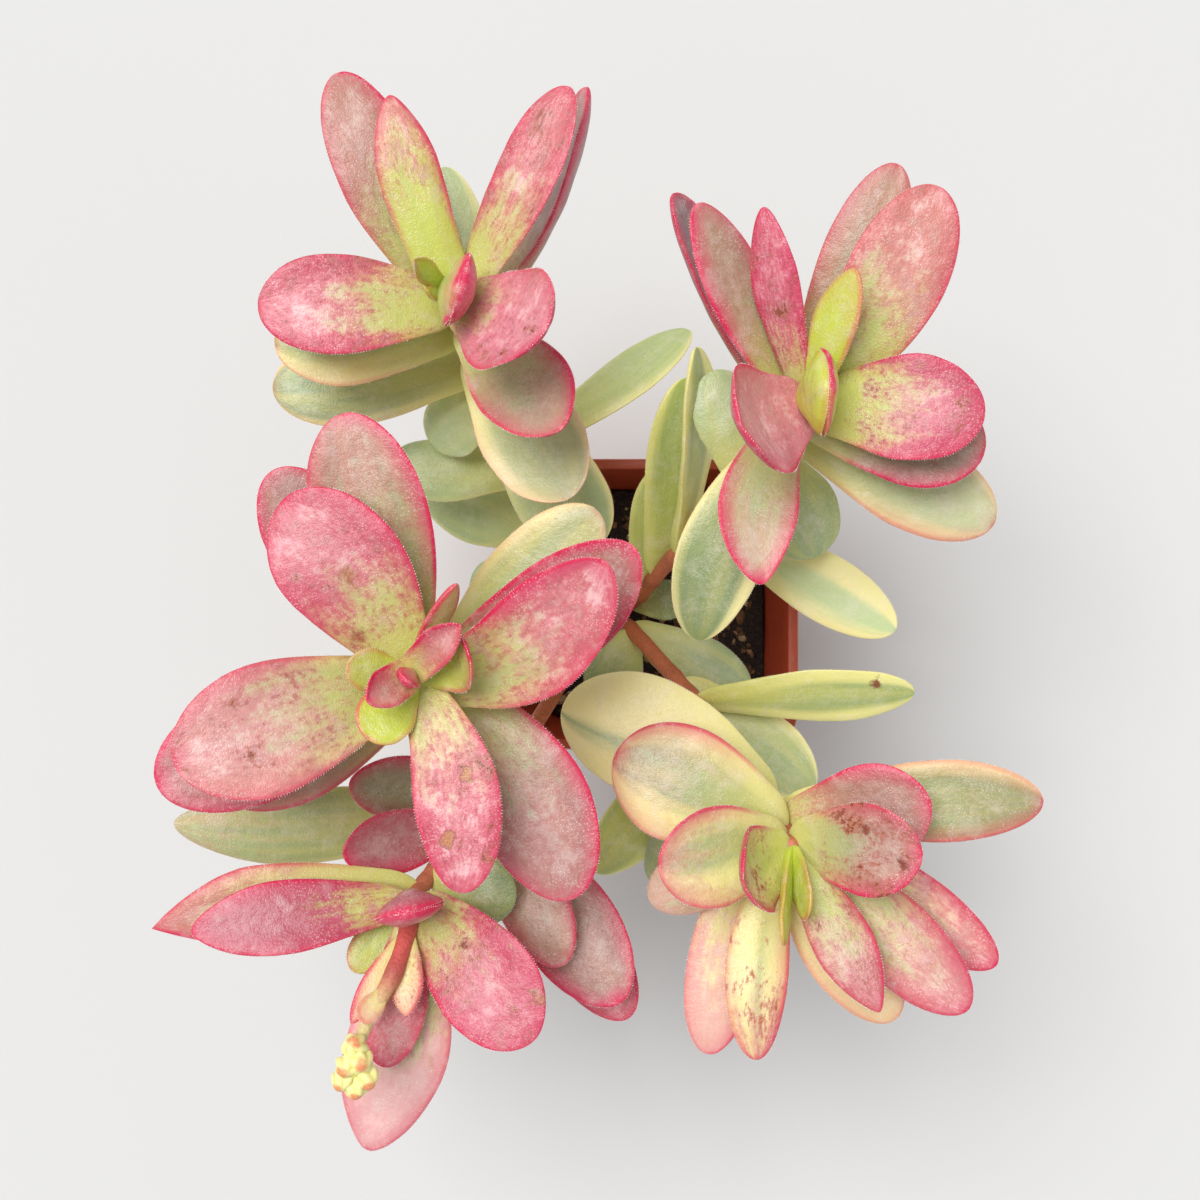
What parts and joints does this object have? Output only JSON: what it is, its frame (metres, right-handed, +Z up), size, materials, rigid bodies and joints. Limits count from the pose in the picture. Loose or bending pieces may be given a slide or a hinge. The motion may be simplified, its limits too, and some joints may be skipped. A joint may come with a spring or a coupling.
{
  "type": "potted succulent",
  "caption": "Leafy succulent with thick, cream-edged pink and green leaves in crossed pairs, leaning out of a small square nursery pot, with a young flower stalk.",
  "frame": {"origin": "centre of the underside of the pot's base", "axes": "+Z up out of the pot. +Y along the plant's longest spread, towards the two taller leaf heads at the back. +X towards the right of someone who looks down with +Y ahead."},
  "size_m": [0.1634, 0.1963, 0.1507],
  "materials": {
    "pot_plastic": "smooth, slightly glossy terracotta-coloured plastic",
    "potting_mix": "rough, dark, with light bits",
    "leaf": "fleshy, finely pimpled, pink over cream and grey-green",
    "bud": "soft, pale yellow"
  },
  "bodies": {
    "root": {"pot": "pot_plastic", "soil": "potting_mix", "stem_upper_left": "leaf", "stem_upper_right": "leaf", "stem_left": "leaf", "stem_lower_left": "leaf", "stem_lower_right": "leaf", "flower_buds": "bud"}
  },
  "joints": []
}
